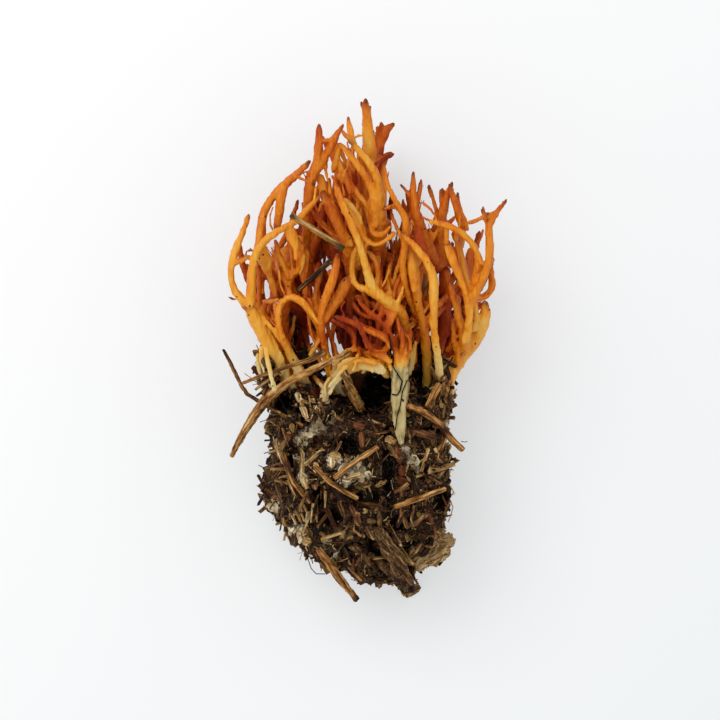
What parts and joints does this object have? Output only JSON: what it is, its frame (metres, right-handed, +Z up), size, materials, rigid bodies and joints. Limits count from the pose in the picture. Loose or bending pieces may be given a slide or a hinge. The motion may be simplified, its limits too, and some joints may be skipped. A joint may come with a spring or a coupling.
{
  "type": "stagshorn fungus",
  "caption": "Picked clump of stagshorn fungus: waxy golden antler-like branches with dark tips, rooted in a loose lump of needles, bark and soil, lying on its back",
  "frame": {"origin": "middle of the bounding box's base, on the surface that the clump lies on", "axes": "+Y from the clump's foot to the spikes (up in the picture), +X to the picture's right, +Z up toward the camera"},
  "size_m": [0.057, 0.1003, 0.0347],
  "materials": {
    "cream_fungus": "satin",
    "golden_fungus": "satin",
    "orange_fungus": "satin",
    "red_brown_fungus": "satin",
    "duff": "matte",
    "bark": "matte",
    "straw": "matte",
    "root": "matte"
  },
  "bodies": {
    "root": {"cream_band": "cream_fungus", "left_stem": "cream_fungus", "left_ribbon_branch": "cream_fungus", "pale_ribbon_branch": "cream_fungus", "left_outer_branch": "golden_fungus", "left_inner_branch": "golden_fungus", "left_arch_branch": "golden_fungus", "left_orange_branch": "golden_fungus", "crown_fork_branch": "golden_fungus", "crown_left_spikes": "golden_fungus", "crown_top_spike": "golden_fungus", "crown_fan_spike": "golden_fungus", "crown_hook_branch": "golden_fungus", "centre_long_branch": "golden_fungus", "centre_lobe_branch": "golden_fungus", "centre_pale_branch": "golden_fungus", "centre_cavity_branch": "golden_fungus", "lower_hairpin_branch": "golden_fungus", "root_fan_branch": "golden_fungus", "right_centre_branch": "golden_fungus", "right_lobe_branch": "golden_fungus", "right_stem": "golden_fungus", "right_paired_branch": "golden_fungus", "right_inner_branch": "golden_fungus", "right_long_branch": "golden_fungus", "right_hooked_branch": "golden_fungus", "right_tall_spike": "golden_fungus", "right_twin_spike": "golden_fungus", "right_fork_spike": "golden_fungus", "under_left_branch": "orange_fungus", "under_middle_branch": "orange_fungus", "under_centre_branch": "orange_fungus", "under_right_branch": "orange_fungus", "under_outer_branch": "orange_fungus", "right_deep_trunk": "orange_fungus", "orange_body": "orange_fungus", "left_deep_branch": "red_brown_fungus", "left_cup_branch": "red_brown_fungus", "lower_mauve_branch": "red_brown_fungus", "centre_flat_branch": "red_brown_fungus", "duff_clump": "duff", "white_root": "root", "big_straw": "straw", "bent_needle": "straw", "olive_needle": "straw", "pale_crown_needle": "straw", "dark_crown_needle": "straw", "left_clump_needle": "straw", "crossed_needle_left": "straw", "crossed_needle_right": "straw", "right_clump_needle": "straw", "side_needle": "straw", "golden_needle": "straw", "straw_fragment": "straw", "right_straw": "straw", "loose_chip": "straw", "bottom_stick": "bark", "bark_chunk": "bark", "splinter_bundle": "bark"}
  },
  "joints": []
}
